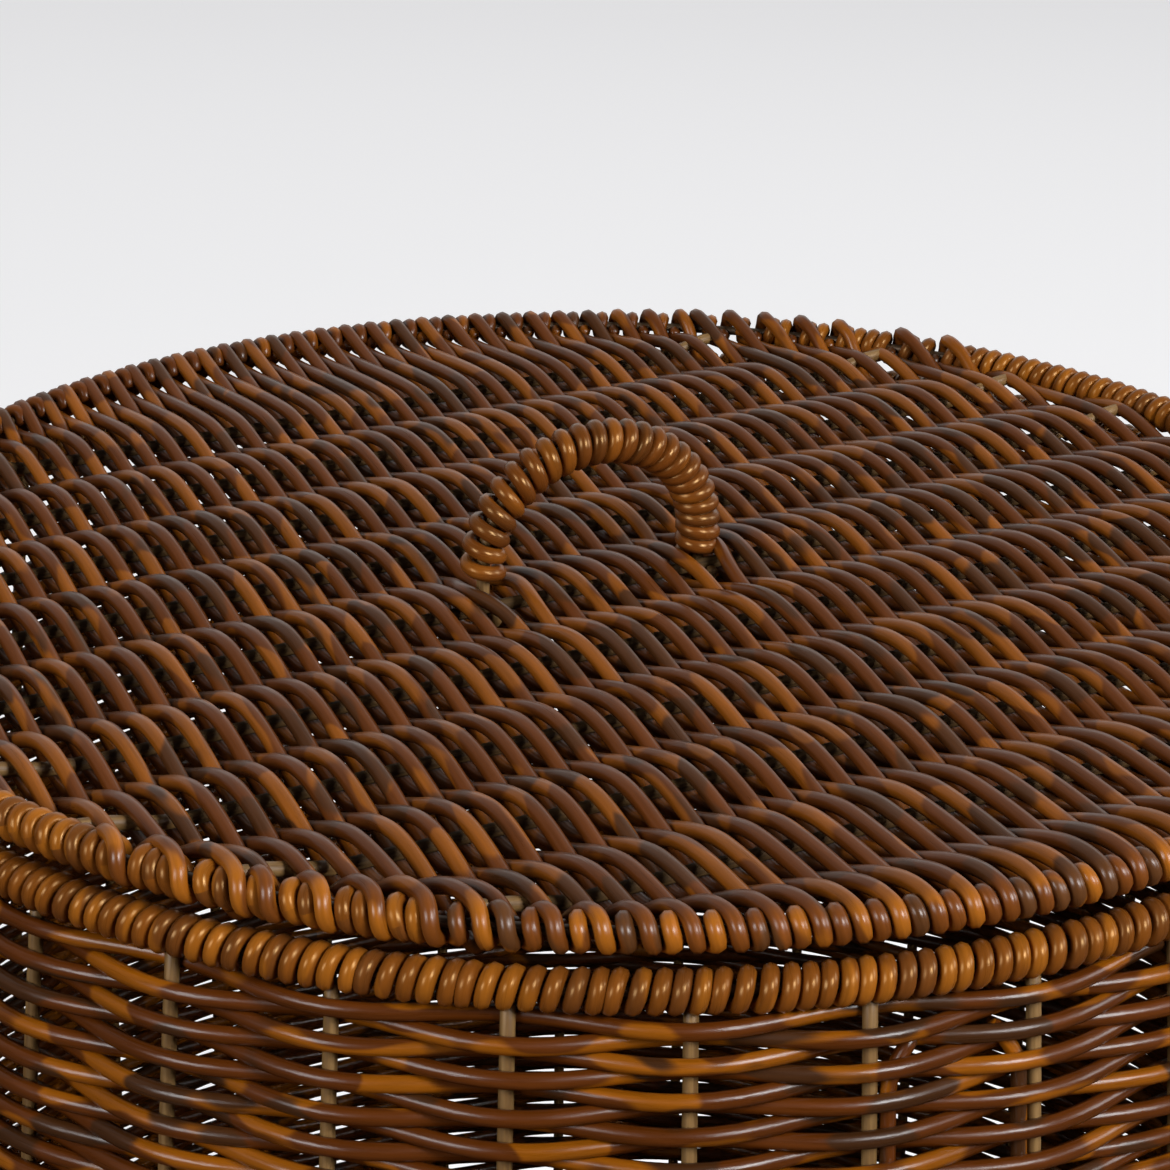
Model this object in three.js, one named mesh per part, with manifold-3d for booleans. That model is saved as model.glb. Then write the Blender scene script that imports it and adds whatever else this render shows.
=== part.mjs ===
// Round woven laundry hamper with a lift-off lid, in millimetres, +Z up.
// The origin is on the floor, under the middle of the foot ring.
//
// The basket is a barrel: 34 upright stakes with brown strands woven round them, between a foot
// ring and a rim ring. Each ring is a wire hoop with strand wound round it. The lid is a flat
// woven disc on nine ribs, in a wound ring of its own, with a wound wire loop as its handle.
// A woven surface is modelled here as one solid as thick as the weave, with a channel for each rod.

import * as THREE from "three";
import { mergeVertices } from "three/addons/utils/BufferGeometryUtils.js";
import Module from "manifold-3d";

// Driving dimensions.
const BODY_HEIGHT = 513; // floor to the top of the basket's rim
const RIM_RADIUS = 196.5; // centre line of the rim ring
const FOOT_RADIUS = 186.5; // centre line of the foot ring
const BARREL_BULGE = 18; // extra radius of the wall at half height
const STRAND = 3.65; // diameter of the woven strand
const ROD_RADIUS = 1.6; // stakes, ribs and the handle's core
const HOOP_RADIUS = 1.5; // wire hoops inside the wound rings
const WOUND_RADIUS = 5; // a wound ring, outside
const FOOT_WOUND_RADIUS = 6; // the foot ring is wound thicker
const STAKES = 34;
const LID_RADIUS = 195; // centre line of the lid's ring
const LID_GAP = 2.5; // daylight between the lid's ring and the rim
const LID_WEAVE_DROP = 4; // the lid's weave lies this far below its ring's centre
const RIBS = 9;
const RIB_SPACING = 36.3;
const HANDLE_SHIFT = -6; // the handle's middle, along the ribs
const HANDLE_HALF_SPAN = 30.3; // to a leg's centre line
const HANDLE_TOP = 33.7; // centre line above the lid ring's centre
const HANDLE_SHOULDER = 6; // where the legs end and the arch starts
const HANDLE_FOOT = 2; // where the winding ends
const HANDLE_WOUND_RADIUS = 5.8;

// Fits and facets.
const GAP = 0.4; // between touching pieces
const CHANNEL_HALF = ROD_RADIUS + 0.35;
const WEAVE_THICKNESS = 2 * (ROD_RADIUS + STRAND);
const RING_SEGMENTS = 48;
const WALL_SEGMENTS = 2 * STAKES;
const WALL_STEPS = 5;
const BORE_SIDES = 6;

const wasm = await Module();
wasm.setup();

// ---------- materials ----------

function material(color, roughness, metalness) {
  return new THREE.MeshStandardMaterial({ color, roughness, metalness });
}

const strandMaterial = material(0x6b4024, 0.45, 0);
const woundMaterial = material(0x7d4a20, 0.35, 0);
const rodMaterial = material(0x94804f, 0.6, 0);
const wireMaterial = material(0x5a5650, 0.5, 0.6);

// ---------- solids ----------

// Keeps positions only, welds shared corners and turns every face outwards.
function weld(geometry) {
  const bare = geometry.clone();
  bare.deleteAttribute("normal");
  bare.deleteAttribute("uv");
  const merged = mergeVertices(bare, 1e-4);
  const position = merged.getAttribute("position");
  const corners = merged.getIndex().array;
  const [a, b, c] = [new THREE.Vector3(), new THREE.Vector3(), new THREE.Vector3()];
  const kept = [];
  let volume = 0;
  for (let i = 0; i < corners.length; i += 3) {
    const [p, q, r] = [corners[i], corners[i + 1], corners[i + 2]];
    if (p === q || q === r || r === p) continue;
    a.fromBufferAttribute(position, p);
    b.fromBufferAttribute(position, q);
    c.fromBufferAttribute(position, r);
    volume += a.dot(b.cross(c));
    kept.push(p, q, r);
  }
  if (volume < 0) kept.reverse();
  merged.setIndex(kept);
  return merged;
}

function toManifold(geometry) {
  const closed = weld(geometry);
  const vertProperties = new Float32Array(closed.getAttribute("position").array);
  const triVerts = new Uint32Array(closed.getIndex().array);
  return new wasm.Manifold(new wasm.Mesh({ numProp: 3, vertProperties, triVerts }));
}

function fromManifold(manifold) {
  const mesh = manifold.getMesh();
  const geometry = new THREE.BufferGeometry();
  geometry.setAttribute("position", new THREE.BufferAttribute(mesh.vertProperties, 3));
  geometry.setIndex(new THREE.BufferAttribute(mesh.triVerts, 1));
  return geometry;
}

// Cuts every tool out of the first geometry.
function cut(geometry, tools) {
  const body = tools.reduce((rest, tool) => rest.subtract(toManifold(tool)), toManifold(geometry));
  return fromManifold(body);
}

// Joins geometries that overlap into one solid.
function join(geometries) {
  const [first, ...others] = geometries.map(toManifold);
  return fromManifold(others.reduce((whole, next) => whole.add(next), first));
}

// Turns a closed profile of (radius, height) points round +Z.
function lathe(profile) {
  return new THREE.LatheGeometry(profile, RING_SEGMENTS).rotateX(Math.PI / 2);
}

// Corners of a regular polygon that stands on a flat side, as (x, y) points.
function polygon(sides, radius, centre = new THREE.Vector2()) {
  const points = [];
  for (let i = 0; i < sides; i++) {
    const angle = (2 * Math.PI * (i + 0.5)) / sides - Math.PI / 2;
    points.push(new THREE.Vector2(radius * Math.cos(angle), radius * Math.sin(angle)).add(centre));
  }
  return points;
}

// A wire hoop: a plain ring with a six-sided section.
function hoop(radius, wireRadius) {
  const points = polygon(BORE_SIDES, wireRadius, new THREE.Vector2(radius, 0));
  return lathe([...points, points[0]]);
}

// A wound ring: an eight-sided tube round a hoop, slit along the side that faces the axis,
// where the weave and the rods come in.
function woundRing(radius, outer, bore, mouth) {
  const half = mouth / 2;
  const corner = outer / Math.cos(Math.PI / 8);
  const points = [new THREE.Vector2(radius - outer, half)];
  for (let i = 0; i < 8; i++) {
    const angle = Math.PI * (7 / 8 - i / 4);
    points.push(new THREE.Vector2(radius + corner * Math.cos(angle), corner * Math.sin(angle)));
  }
  points.push(new THREE.Vector2(radius - outer, -half));
  const inset = Math.sqrt(bore ** 2 - half ** 2);
  points.push(new THREE.Vector2(radius - inset, -half));
  for (let i = -2; i <= 2; i++) {
    const angle = (Math.PI * i) / 3;
    points.push(new THREE.Vector2(radius + bore * Math.cos(angle), bore * Math.sin(angle)));
  }
  points.push(new THREE.Vector2(radius - inset, half));
  return lathe([...points, points[0]]);
}

function rodAlongX(radius, halfLength, y) {
  const rod = new THREE.CylinderGeometry(radius, radius, 2 * halfLength, BORE_SIDES);
  return rod.rotateZ(Math.PI / 2).translate(0, y, 0);
}

function ribOffset(i) {
  return (i - (RIBS - 1) / 2) * RIB_SPACING;
}

// ---------- the barrel wall ----------

const wallBottom = 2 * FOOT_WOUND_RADIUS + GAP;
const wallTop = BODY_HEIGHT - 2 * WOUND_RADIUS - GAP;

// How far the wall's middle surface stands outside the rim's radius at height z.
function bowAt(z) {
  const t = (z - wallBottom) / (wallTop - wallBottom);
  return (FOOT_RADIUS - RIM_RADIUS) * (1 - t) + 4 * BARREL_BULGE * t * (1 - t);
}

// Raises a flat shape drawn at the rim's radius to the wall's height, and bows it with the barrel.
function raise(shape) {
  const depth = wallTop - wallBottom;
  const geometry = new THREE.ExtrudeGeometry(shape, { depth, steps: WALL_STEPS, bevelEnabled: false });
  const position = geometry.getAttribute("position");
  for (let i = 0; i < position.count; i++) {
    const [x, y, z] = [position.getX(i), position.getY(i), position.getZ(i) + wallBottom];
    const scale = 1 + bowAt(z) / Math.hypot(x, y);
    position.setXYZ(i, x * scale, y * scale, z);
  }
  return geometry;
}

function stakeAngle(i) {
  return (2 * Math.PI * i) / STAKES;
}

function turned(points, angle) {
  const origin = new THREE.Vector2();
  return points.map((point) => point.clone().rotateAround(origin, angle));
}

const stakeCentre = new THREE.Vector2(RIM_RADIUS, 0);

function stake(i) {
  return raise(new THREE.Shape(turned(polygon(BORE_SIDES, ROD_RADIUS, stakeCentre), stakeAngle(i))));
}

function wallWeave() {
  const circle = (radius) =>
    Array.from({ length: WALL_SEGMENTS }, (_, i) => {
      const angle = (2 * Math.PI * i) / WALL_SEGMENTS;
      return new THREE.Vector2(radius * Math.cos(angle), radius * Math.sin(angle));
    });
  const shape = new THREE.Shape(circle(RIM_RADIUS + WEAVE_THICKNESS / 2));
  shape.holes.push(new THREE.Path(circle(RIM_RADIUS - WEAVE_THICKNESS / 2).reverse()));
  for (let i = 0; i < STAKES; i++) {
    const channel = polygon(4, CHANNEL_HALF * Math.SQRT2, stakeCentre);
    shape.holes.push(new THREE.Path(turned(channel, stakeAngle(i)).reverse()));
  }
  return raise(shape);
}

// ---------- woven discs ----------

// A round plate as thick as the weave, with a channel through it for each rib.
function wovenDisc(radius, pockets) {
  const half = WEAVE_THICKNESS / 2;
  const profile = [
    new THREE.Vector2(0, -half),
    new THREE.Vector2(radius, -half),
    new THREE.Vector2(radius, half),
    new THREE.Vector2(0, half),
  ];
  const channels = [];
  for (let i = 0; i < RIBS; i++) {
    const side = 2 * CHANNEL_HALF;
    channels.push(new THREE.BoxGeometry(2.5 * radius, side, side).translate(0, ribOffset(i), 0));
  }
  return cut(lathe(profile), [...channels, ...pockets]);
}

// Half the length of a rib that ends inside a circle of the given radius.
function ribHalfLength(i, radius) {
  return Math.sqrt(radius ** 2 - (Math.abs(ribOffset(i)) + ROD_RADIUS) ** 2);
}

// ---------- the handle ----------

// The legs pass behind the middle rib, and their ends hook under it.
const hookRadius = 2 * ROD_RADIUS + GAP;
const handleLegs = [HANDLE_SHIFT - HANDLE_HALF_SPAN, HANDLE_SHIFT + HANDLE_HALF_SPAN];

// Centre line of the arch, leg to leg, from the end of the winding.
function archPoints() {
  const points = [];
  const steps = 12;
  for (let i = 0; i <= steps; i++) {
    const angle = Math.PI * (1 - i / steps);
    const x = HANDLE_SHIFT + HANDLE_HALF_SPAN * Math.cos(angle);
    const z = HANDLE_SHOULDER + (HANDLE_TOP - HANDLE_SHOULDER) * Math.sin(angle);
    points.push(new THREE.Vector3(x, hookRadius, z));
  }
  const foot = (x) => new THREE.Vector3(x, hookRadius, HANDLE_FOOT);
  return [foot(handleLegs[0]), ...points, foot(handleLegs[1])];
}

// One leg's end, from beside the rib to its tip on the far side.
function hookPoints(x) {
  const points = [];
  for (let i = 0; i <= 4; i++) {
    const angle = (-Math.PI * 0.95 * i) / 4;
    const y = hookRadius * Math.cos(angle);
    points.push(new THREE.Vector3(x, y, hookRadius * Math.sin(angle) - LID_WEAVE_DROP));
  }
  return points;
}

function tube(points, shape, steps) {
  const extrudePath = new THREE.CatmullRomCurve3(points, false, "centripetal");
  return new THREE.ExtrudeGeometry(shape, { extrudePath, steps, bevelEnabled: false });
}

function handleCore() {
  const [left, right] = handleLegs.map(hookPoints);
  const points = [...left.reverse(), ...archPoints(), ...right];
  return tube(points, new THREE.Shape(polygon(BORE_SIDES, ROD_RADIUS)), 72);
}

function handleWinding() {
  const shape = new THREE.Shape(polygon(8, HANDLE_WOUND_RADIUS / Math.cos(Math.PI / 8)));
  shape.holes.push(new THREE.Path(polygon(BORE_SIDES, ROD_RADIUS + 0.6).reverse()));
  return tube(archPoints(), shape, 28);
}

// The room that a leg and its hook need in the lid's weave.
function handlePocket(x) {
  const reach = hookRadius + ROD_RADIUS + GAP;
  return new THREE.BoxGeometry(2 * CHANNEL_HALF, 2 * reach, 2 * WEAVE_THICKNESS).translate(x, 0, 0);
}

// ---------- assembly ----------

function part(name, geometry, finish, z = 0) {
  const mesh = new THREE.Mesh(weld(geometry), finish);
  mesh.name = name;
  mesh.position.z = z;
  return mesh;
}

// Rings and discs share their facets, so this is the clear radius inside a wound ring.
function clearRadius(ringRadius, wound) {
  return ringRadius - wound - GAP;
}

function buildBasket() {
  const basket = new THREE.Group();
  const rimZ = BODY_HEIGHT - WOUND_RADIUS;
  const footZ = FOOT_WOUND_RADIUS;
  const slit = 0.8;
  const bore = HOOP_RADIUS + 0.45;
  basket.add(part("rim_hoop", hoop(RIM_RADIUS, HOOP_RADIUS), wireMaterial, rimZ));
  basket.add(part("rim_winding", woundRing(RIM_RADIUS, WOUND_RADIUS, bore, slit), woundMaterial, rimZ));
  for (let i = 0; i < STAKES; i++) {
    const name = `stake_${String(i + 1).padStart(2, "0")}`;
    basket.add(part(name, stake(i), rodMaterial));
  }
  basket.add(part("wall_weave", wallWeave(), strandMaterial));

  // The foot's hoop carries nine base ribs, welded to it, that come in through the winding's mouth.
  const baseRibs = [];
  for (let i = 0; i < RIBS; i++) {
    const halfLength = Math.sqrt(FOOT_RADIUS ** 2 - ribOffset(i) ** 2);
    baseRibs.push(rodAlongX(HOOP_RADIUS, halfLength, ribOffset(i)));
  }
  const baseFrame = join([hoop(FOOT_RADIUS, HOOP_RADIUS), ...baseRibs]);
  const mouth = 2 * HOOP_RADIUS + 0.9;
  const footBore = HOOP_RADIUS + 1;
  const footWinding = woundRing(FOOT_RADIUS, FOOT_WOUND_RADIUS, footBore, mouth);
  const baseRadius = clearRadius(FOOT_RADIUS, FOOT_WOUND_RADIUS);
  basket.add(part("base_frame", baseFrame, wireMaterial, footZ));
  basket.add(part("foot_winding", footWinding, woundMaterial, footZ));
  basket.add(part("base_weave", wovenDisc(baseRadius, []), strandMaterial, footZ));
  return basket;
}

function buildLid() {
  const lid = new THREE.Group();
  const slit = 0.8;
  const bore = HOOP_RADIUS + 0.45;
  const discRadius = clearRadius(LID_RADIUS, WOUND_RADIUS);
  const weaveZ = -LID_WEAVE_DROP;
  lid.add(part("lid_hoop", hoop(LID_RADIUS, HOOP_RADIUS), wireMaterial));
  lid.add(part("lid_winding", woundRing(LID_RADIUS, WOUND_RADIUS, bore, slit), woundMaterial));
  for (let i = 0; i < RIBS; i++) {
    const rib = rodAlongX(ROD_RADIUS, ribHalfLength(i, discRadius - GAP), ribOffset(i));
    lid.add(part(`lid_rib_${i + 1}`, rib, rodMaterial, weaveZ));
  }
  lid.add(part("lid_weave", wovenDisc(discRadius, handleLegs.map(handlePocket)), strandMaterial, weaveZ));
  lid.add(part("handle_core", handleCore(), rodMaterial));
  lid.add(part("handle_winding", handleWinding(), woundMaterial));
  lid.position.z = BODY_HEIGHT + LID_GAP + WOUND_RADIUS;
  return lid;
}

const hamper = new THREE.Group();
hamper.add(buildBasket(), buildLid());

export default hamper;
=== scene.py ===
import math

import bpy
import numpy as np
from mathutils import Matrix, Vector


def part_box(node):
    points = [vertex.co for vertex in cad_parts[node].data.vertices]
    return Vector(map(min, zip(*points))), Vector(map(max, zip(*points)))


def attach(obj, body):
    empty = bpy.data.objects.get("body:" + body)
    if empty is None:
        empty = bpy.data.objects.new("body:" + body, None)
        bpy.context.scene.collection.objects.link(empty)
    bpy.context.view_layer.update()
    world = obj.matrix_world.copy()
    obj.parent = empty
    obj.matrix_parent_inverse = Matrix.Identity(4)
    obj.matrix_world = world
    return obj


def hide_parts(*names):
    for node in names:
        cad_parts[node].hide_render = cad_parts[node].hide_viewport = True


# Looks of the round woven laundry hamper. Metres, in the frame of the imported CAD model.
# Every woven surface is made strand by strand, as tubes swept along their real paths.

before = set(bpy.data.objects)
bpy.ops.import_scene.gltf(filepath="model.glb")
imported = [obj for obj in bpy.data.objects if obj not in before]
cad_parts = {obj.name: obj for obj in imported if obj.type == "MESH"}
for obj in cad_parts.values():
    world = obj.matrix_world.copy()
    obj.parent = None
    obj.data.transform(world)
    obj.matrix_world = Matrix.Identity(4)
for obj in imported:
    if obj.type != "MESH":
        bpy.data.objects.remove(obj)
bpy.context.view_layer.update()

MM = 0.001
rng = np.random.default_rng(20)

# ---------- sizes, from the CAD pieces ----------


class Ring:
    """A wound ring: the circle of its hoop, and how far its winding stands off that."""

    def __init__(self, node):
        low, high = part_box(node)
        self.wound = (high.z - low.z) / 2
        self.radius = high.x - self.wound
        self.z = (high.z + low.z) / 2


rim = Ring("rim_winding")
foot = Ring("foot_winding")
lid_ring = Ring("lid_winding")
wall_low, wall_high = (corner.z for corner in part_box("wall_weave"))
lid_low, lid_high = (corner.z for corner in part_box("lid_weave"))
lid_plane = (lid_low + lid_high) / 2
base_low, base_high = (corner.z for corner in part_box("base_weave"))
base_plane = (base_low + base_high) / 2
LID_RIBS = 9
rib_boxes = [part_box(f"lid_rib_{i + 1}") for i in range(LID_RIBS)]
rib_rows = [(low.y + high.y) / 2 for low, high in rib_boxes]
stake_nodes = sorted(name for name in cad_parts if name.startswith("stake_"))
STAKES = len(stake_nodes)

STRAND = 1.9 * MM  # radius of a strand
ROD = 1.6 * MM  # radius of stakes, ribs and the handle's core
RING_WIRE = 1.3 * MM  # radius of the hoops in the rim and in the lid's ring
FRAME_WIRE = 1.5 * MM  # radius of the foot's hoop and of the base's ribs
SWING = ROD + STRAND  # how far a strand stands off the middle of the weave
FLAT_PITCH = 3.9 * MM  # from one strand to the next in the lid and the base
WOUND_PITCH = 4.15 * MM  # from one turn to the next round a ring
BULGE = 17.7 * MM  # extra radius of the wall at half height

# ---------- strands as tubes ----------

ROUNDINGS = 3  # how many times each point of a path is averaged with its neighbours


def unit(v):
    return v / np.linalg.norm(v, axis=-1, keepdims=True)


def eased(t):
    """Turns an even change from 0 to 1 into one that starts and stops gently."""
    return t * t * (3 - 2 * t)


def distances(path):
    """How far along a path each of its points is."""
    return np.concatenate([[0], np.cumsum(np.linalg.norm(np.diff(path, axis=0), axis=1))])


def tangents(path, closed):
    if closed:
        return unit(np.roll(path, -1, axis=0) - np.roll(path, 1, axis=0))
    return unit(np.gradient(path, axis=0))


def evened(path, count):
    """The same path with `count` points, evenly spaced, and its corners rounded off."""
    gone = distances(path)
    wanted = np.linspace(0, gone[-1], count)
    path = np.stack([np.interp(wanted, gone, column) for column in path.T], -1)
    for _ in range(ROUNDINGS):
        path[1:-1] = (path[:-2] + 2 * path[1:-1] + path[2:]) / 4
    return path


def side_vectors(path, closed, reference):
    """Two directions across the path at each point, which don't twist along it. The first is as
    near to `reference` as it can be. Without one it starts upwards, or along X if the path starts
    upright."""
    along = tangents(path, closed)
    if reference is not None:
        first = unit(reference - (reference * along).sum(-1, keepdims=True) * along)
        return first, np.cross(along, first)
    first = np.empty_like(path)
    starts_upright = abs(along[0][2]) > 0.9
    now = np.array([1.0, 0.0, 0.0]) if starts_upright else np.array([0.0, 0.0, 1.0])
    for i, direction in enumerate(along):
        now = now - (now @ direction) * direction
        now = now / math.sqrt(now @ now)
        first[i] = now
    return first, np.cross(along, first)


# An open tube ends in a short cone: its length and its end's radius, in radii of the tube.
TIP_LENGTH = 0.4
TIP_SIZE = 0.7
SEEDS = 100  # every strand's seed for the noise of its material lies between 0 and this


class Strands:
    """Collects tubes and makes one mesh of them. A corner's `grain` holds how far along its strand
    it is and where it is around it, `seed` tells one strand from another, and `turning` is 1 where
    a strand of a weave turns round a ring."""

    def __init__(self):
        self.points, self.corners, self.totals = [], [], []
        self.grain, self.seed, self.turning = [], [], []
        self.count = 0

    def add(self, path, radius, closed=False, sides=8, reference=None, turning=None):
        path = np.asarray(path, float)
        turning = np.zeros(len(path)) if turning is None else turning
        radii = np.full(len(path), radius) if np.isscalar(radius) else np.asarray(radius, float)
        if not closed:
            tip = radii[0] * TIP_LENGTH * unit(path[0] - path[1])
            tail = radii[-1] * TIP_LENGTH * unit(path[-1] - path[-2])
            path = np.vstack([path[0] + tip, path, path[-1] + tail])
            radii = np.concatenate([[radii[0] * TIP_SIZE], radii, [radii[-1] * TIP_SIZE]])
            turning = np.concatenate([turning[:1], turning, turning[-1:]])
            if reference is not None:
                reference = np.vstack([reference[:1], reference, reference[-1:]])
        first, second = side_vectors(path, closed, reference)
        turn = 2 * np.pi * np.arange(sides) / sides
        circle = first[:, None] * np.cos(turn)[:, None] + second[:, None] * np.sin(turn)[:, None]
        rings = path[:, None] + radii[:, None, None] * circle
        count = len(path)
        step = np.linalg.norm(np.roll(path, -1, axis=0) - path, axis=1)
        distance = np.concatenate([[0.0], np.cumsum(step)])
        rows = count if closed else count - 1
        i = np.arange(rows)[:, None]
        k = np.arange(sides)[None, :]
        k_next = (k + 1) % sides
        i_next = (i + 1) % count
        quads = np.stack(np.broadcast_arrays(
            i * sides + k, i * sides + k_next, i_next * sides + k_next, i_next * sides + k), -1)
        here = np.broadcast_to(distance[:rows][:, None], (rows, sides))
        there = np.broadcast_to(distance[1:rows + 1][:, None], (rows, sides))
        turned = np.broadcast_to(turn[k], (rows, sides))
        turned_next = np.broadcast_to(turn[k_next], (rows, sides))
        grain_along = np.stack([here, here, there, there], -1)
        grain_turn = np.stack([turned, turned_next, turned_next, turned], -1)
        grain = np.stack([grain_along, np.cos(grain_turn), np.sin(grain_turn)], -1)
        self.points.append(rings.reshape(-1, 3))
        self.corners.append((quads + self.count).reshape(-1))
        self.totals.append(np.full(rows * sides, 4))
        self.grain.append(grain.reshape(-1, 3))
        now = np.broadcast_to(turning[:rows][:, None], (rows, sides))
        then = np.broadcast_to(np.roll(turning, -1)[:rows][:, None], (rows, sides))
        self.turning.append(np.stack([now, now, then, then], -1).reshape(-1))
        seed = float(rng.uniform(0, SEEDS))
        corner_count = rows * sides * 4
        if not closed:
            ends = np.concatenate([np.arange(sides)[::-1], (count - 1) * sides + np.arange(sides)])
            self.corners.append(ends + self.count)
            self.totals.append(np.array([sides, sides]))
            cap = np.zeros((2 * sides, 3))
            cap[:sides, 0] = distance[0]
            cap[sides:, 0] = distance[count - 1]
            self.grain.append(cap)
            self.turning.append(np.zeros(2 * sides))
            corner_count += 2 * sides
        self.seed.append(np.full(corner_count, seed))
        self.count += count * sides

    def make(self, name, body, material, slot, *nodes):
        mesh = bpy.data.meshes.new(name)
        points = np.concatenate(self.points)
        corners = np.concatenate(self.corners).astype(np.int32)
        totals = np.concatenate(self.totals).astype(np.int32)
        mesh.vertices.add(len(points))
        mesh.vertices.foreach_set("co", points.astype(np.float32).ravel())
        mesh.loops.add(len(corners))
        mesh.loops.foreach_set("vertex_index", corners)
        mesh.polygons.add(len(totals))
        starts = np.concatenate([[0], np.cumsum(totals)[:-1]]).astype(np.int32)
        mesh.polygons.foreach_set("loop_start", starts)
        mesh.polygons.foreach_set("loop_total", totals)
        mesh.polygons.foreach_set("use_smooth", np.ones(len(totals), bool))
        mesh.update(calc_edges=True)
        mesh.validate()
        grain = mesh.attributes.new("grain", "FLOAT_VECTOR", "CORNER")
        grain.data.foreach_set("vector", np.concatenate(self.grain).astype(np.float32).ravel())
        seed = mesh.attributes.new("seed", "FLOAT", "CORNER")
        seed.data.foreach_set("value", np.concatenate(self.seed).astype(np.float32))
        turning = mesh.attributes.new("turning", "FLOAT", "CORNER")
        turning.data.foreach_set("value", np.concatenate(self.turning).astype(np.float32))
        piece = bpy.data.objects.new(name, mesh)
        bpy.context.scene.collection.objects.link(piece)
        mesh.materials.append(material)
        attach(piece, body)
        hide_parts(*nodes)


def wander(count, length, size, closed=False):
    """Smooth random offsets for `count` points, with bumps about `length` points long."""
    knots = max(4, round(count / length))
    values = rng.normal(0, size, knots)
    if closed:
        values = np.concatenate([values, values[:1]])
        where = np.arange(count) / count * knots
    else:
        where = np.arange(count) / max(count - 1, 1) * (knots - 1)
    low = np.minimum(where.astype(int), len(values) - 2)
    ease = eased(where - low)
    return values[low] * (1 - ease) + values[low + 1] * ease


# ---------- materials ----------


class Nodes:
    """A short way to write a node tree."""

    def __init__(self, name):
        self.material = bpy.data.materials.new(name)
        self.material.use_nodes = True
        self.tree = self.material.node_tree
        self.tree.nodes.clear()
        self.output = self.tree.nodes.new("ShaderNodeOutputMaterial")
        self.shader = self.tree.nodes.new("ShaderNodeBsdfPrincipled")
        self.link(self.shader.outputs[0], self.output.inputs["Surface"])

    def link(self, source, target):
        self.tree.links.new(source, target)

    def feed(self, value, socket):
        if isinstance(value, bpy.types.NodeSocket):
            self.link(value, socket)
        else:
            socket.default_value = value

    def attribute(self, name, output="Fac"):
        node = self.tree.nodes.new("ShaderNodeAttribute")
        node.attribute_name = name
        return node.outputs[output]

    def math(self, operation, a, b=0.0):
        node = self.tree.nodes.new("ShaderNodeMath")
        node.operation = operation
        self.feed(a, node.inputs[0])
        self.feed(b, node.inputs[1])
        return node.outputs[0]

    def scaled(self, vector, scale):
        node = self.tree.nodes.new("ShaderNodeVectorMath")
        node.operation = "MULTIPLY"
        self.feed(vector, node.inputs[0])
        node.inputs[1].default_value = scale
        return node.outputs[0]

    def noise(self, vector, w, scale=1.0, detail=2.0, roughness=0.5):
        node = self.tree.nodes.new("ShaderNodeTexNoise")
        node.noise_dimensions = "4D"
        self.feed(vector, node.inputs["Vector"])
        self.feed(w, node.inputs["W"])
        node.inputs["Scale"].default_value = scale
        node.inputs["Detail"].default_value = detail
        node.inputs["Roughness"].default_value = roughness
        return node.outputs["Fac"]

    def remap(self, value, low, high, to_low=0.0, to_high=1.0, smooth=True):
        node = self.tree.nodes.new("ShaderNodeMapRange")
        node.interpolation_type = "SMOOTHSTEP" if smooth else "LINEAR"
        self.feed(value, node.inputs["Value"])
        node.inputs["From Min"].default_value = low
        node.inputs["From Max"].default_value = high
        node.inputs["To Min"].default_value = to_low
        node.inputs["To Max"].default_value = to_high
        return node.outputs["Result"]

    def mix(self, factor, a, b, blend="MIX"):
        node = self.tree.nodes.new("ShaderNodeMix")
        node.data_type = "RGBA"
        node.blend_type = blend
        # The factor is input 0 of a mix node. Its inputs 6 and 7 and its output 2 are the colours.
        self.feed(factor, node.inputs[0])
        self.feed(a, node.inputs[6])
        self.feed(b, node.inputs[7])
        return node.outputs[2]

    def bump(self, height, strength, distance):
        node = self.tree.nodes.new("ShaderNodeBump")
        node.inputs["Strength"].default_value = strength
        node.inputs["Distance"].default_value = distance
        self.feed(height, node.inputs["Height"])
        self.link(node.outputs[0], self.shader.inputs["Normal"])

    def set(self, socket, value):
        self.feed(value, self.shader.inputs[socket])


def srgb(red, green, blue):
    """A colour given as 0 to 255 values, in the linear numbers that shaders take."""
    channels = [value / 255 for value in (red, green, blue)]
    return [v / 12.92 if v <= 0.04045 else ((v + 0.055) / 1.055) ** 2.4 for v in channels] + [1.0]


WARM = srgb(255, 212, 150)  # tint of the highlights on the wound strand
PLAIN_TINT = (1.0, 1.0, 1.0, 1.0)
RING_PAINTED_LIGHT = (1.6, 1.72, 1.85, 1.0)  # painted light: makes a weave's strands, where they turn round a ring and face the lamps, as light as the plain turns there
# Noise values between which brown turns to amber, and to dark.
AMBER_EDGES = (0.515, 0.55)
DARK_EDGES = (0.57, 0.61)
# Added to a strand's seed, so that its dark stretches and its shade go their own way.
DARK_SEED = 31.7
CLOUD_SEED = 7.3
# Scales of the noises: per metre along the strand, and for the cosine and the sine round it.
CLOUDS = (30.0, 0.3, 0.3)
STREAKS = (60.0, 1.6, 1.6)
FINE = (250.0, 2.6, 2.6)
ROD_STREAKS = (35.0, 1.4, 1.4)
ROD_FINE = (400.0, 3.0, 3.0)
SCRATCHES = (90.0, 2.0, 2.0)


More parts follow.
